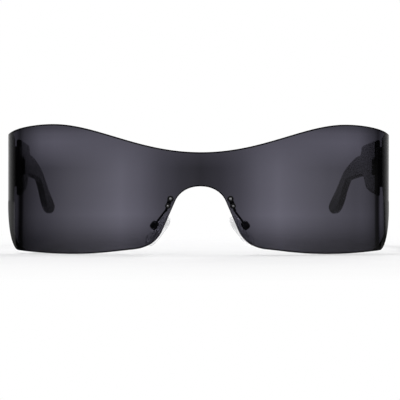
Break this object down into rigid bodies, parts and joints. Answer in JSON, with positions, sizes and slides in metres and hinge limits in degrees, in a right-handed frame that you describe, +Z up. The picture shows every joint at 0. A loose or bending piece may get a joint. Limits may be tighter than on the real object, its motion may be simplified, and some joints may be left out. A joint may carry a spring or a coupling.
{
  "type": "shield sunglasses",
  "caption": "Rimless shield sunglasses with a wrap-round smoke lens, deep folding temples on barrel hinges and rocking clear nose pads.",
  "frame": {"origin": "middle of the open glasses' box, on the level of the lens's lowest edge", "axes": "+X to the right as seen from the front, +Y from the lens back to the ears, +Z up"},
  "size_m": [0.15, 0.1612, 0.05],
  "materials": {
    "lens_smoke": "polished smoke polycarbonate",
    "temple_plastic": "satin black",
    "black_plastic": "satin black",
    "black_metal": "black plated",
    "steel": "bright",
    "pad_core": "clear hard plastic",
    "silicone": "clear silicone"
  },
  "bodies": {
    "front": {"lens": "lens_smoke", "end_piece_right": "black_plastic", "end_screws_right": "steel", "front_leaf_right": "black_metal", "front_leaf_screws_right": "steel", "hinge_screw_right": "steel", "nose_bracket_right": "black_metal", "nose_rivets_right": "steel", "nose_bushes_right": "black_plastic", "pad_box_right": "black_metal", "pad_pin_right": "black_metal", "end_piece_left": "black_plastic", "end_screws_left": "steel", "front_leaf_left": "black_metal", "front_leaf_screws_left": "steel", "hinge_screw_left": "steel", "nose_bracket_left": "black_metal", "nose_rivets_left": "steel", "nose_bushes_left": "black_plastic", "pad_box_left": "black_metal", "pad_pin_left": "black_metal"},
    "temple_right": {"temple_right": "temple_plastic", "temple_leaf_right": "black_metal", "temple_leaf_screws_right": "steel"},
    "temple_left": {"temple_left": "temple_plastic", "temple_leaf_left": "black_metal", "temple_leaf_screws_left": "steel"},
    "pad_right": {"nose_pad_right": "silicone", "pad_core_right": "pad_core"},
    "pad_left": {"nose_pad_left": "silicone", "pad_core_left": "pad_core"}
  },
  "joints": [
    {"name": "temple_right_fold", "type": "hinge", "parent": "front", "child": "temple_right", "pos_m": [0.0696, -0.05075, 0.0338], "axis": [0, 0, 1], "range_deg": [0, 92]},
    {"name": "temple_left_fold", "type": "hinge", "parent": "front", "child": "temple_left", "pos_m": [-0.0696, -0.05075, 0.0338], "axis": [0, 0, -1], "range_deg": [0, 86]},
    {"name": "pad_right_rock", "type": "hinge", "parent": "front", "child": "pad_right", "pos_m": [0.0175, -0.07175, 0.01107], "axis": [0.3357, 0.9063, 0.2567], "range_deg": [-8, 8]},
    {"name": "pad_left_rock", "type": "hinge", "parent": "front", "child": "pad_left", "pos_m": [-0.0175, -0.07175, 0.01107], "axis": [0.3357, -0.9063, -0.2567], "range_deg": [-8, 8]}
  ]
}
